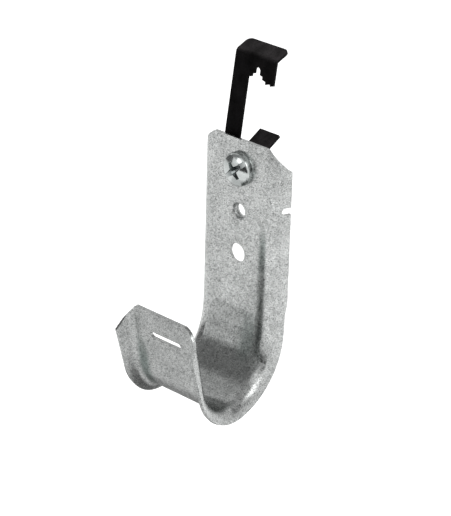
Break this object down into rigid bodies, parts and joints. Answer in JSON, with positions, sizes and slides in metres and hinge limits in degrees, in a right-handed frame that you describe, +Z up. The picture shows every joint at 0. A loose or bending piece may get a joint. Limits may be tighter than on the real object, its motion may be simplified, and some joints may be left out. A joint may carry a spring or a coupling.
{
  "type": "j hook cable support",
  "caption": "Flared steel J hook that carries a bundle of data cables, with a black spring clip screwed behind its plate that hangs it from ceiling wire or rod.",
  "frame": {"origin": "centre of the plain fixing hole, on the back face of the plate", "axes": "+Z up along the flat plate, -Y out of the plate's front towards the loop and lip, X along the cable"},
  "size_m": [0.0394, 0.055, 0.129],
  "materials": {
    "galvanised_steel": "hot-dip galvanised sheet, satin with a fine mottled grain",
    "black_spring_steel": "black phosphated and oiled spring steel, satin",
    "bright_zinc": "bright zinc plating"
  },
  "bodies": {
    "root": {"j_hook": "galvanised_steel", "spring_clip": "black_spring_steel", "pan_head_screw": "bright_zinc"}
  },
  "joints": []
}
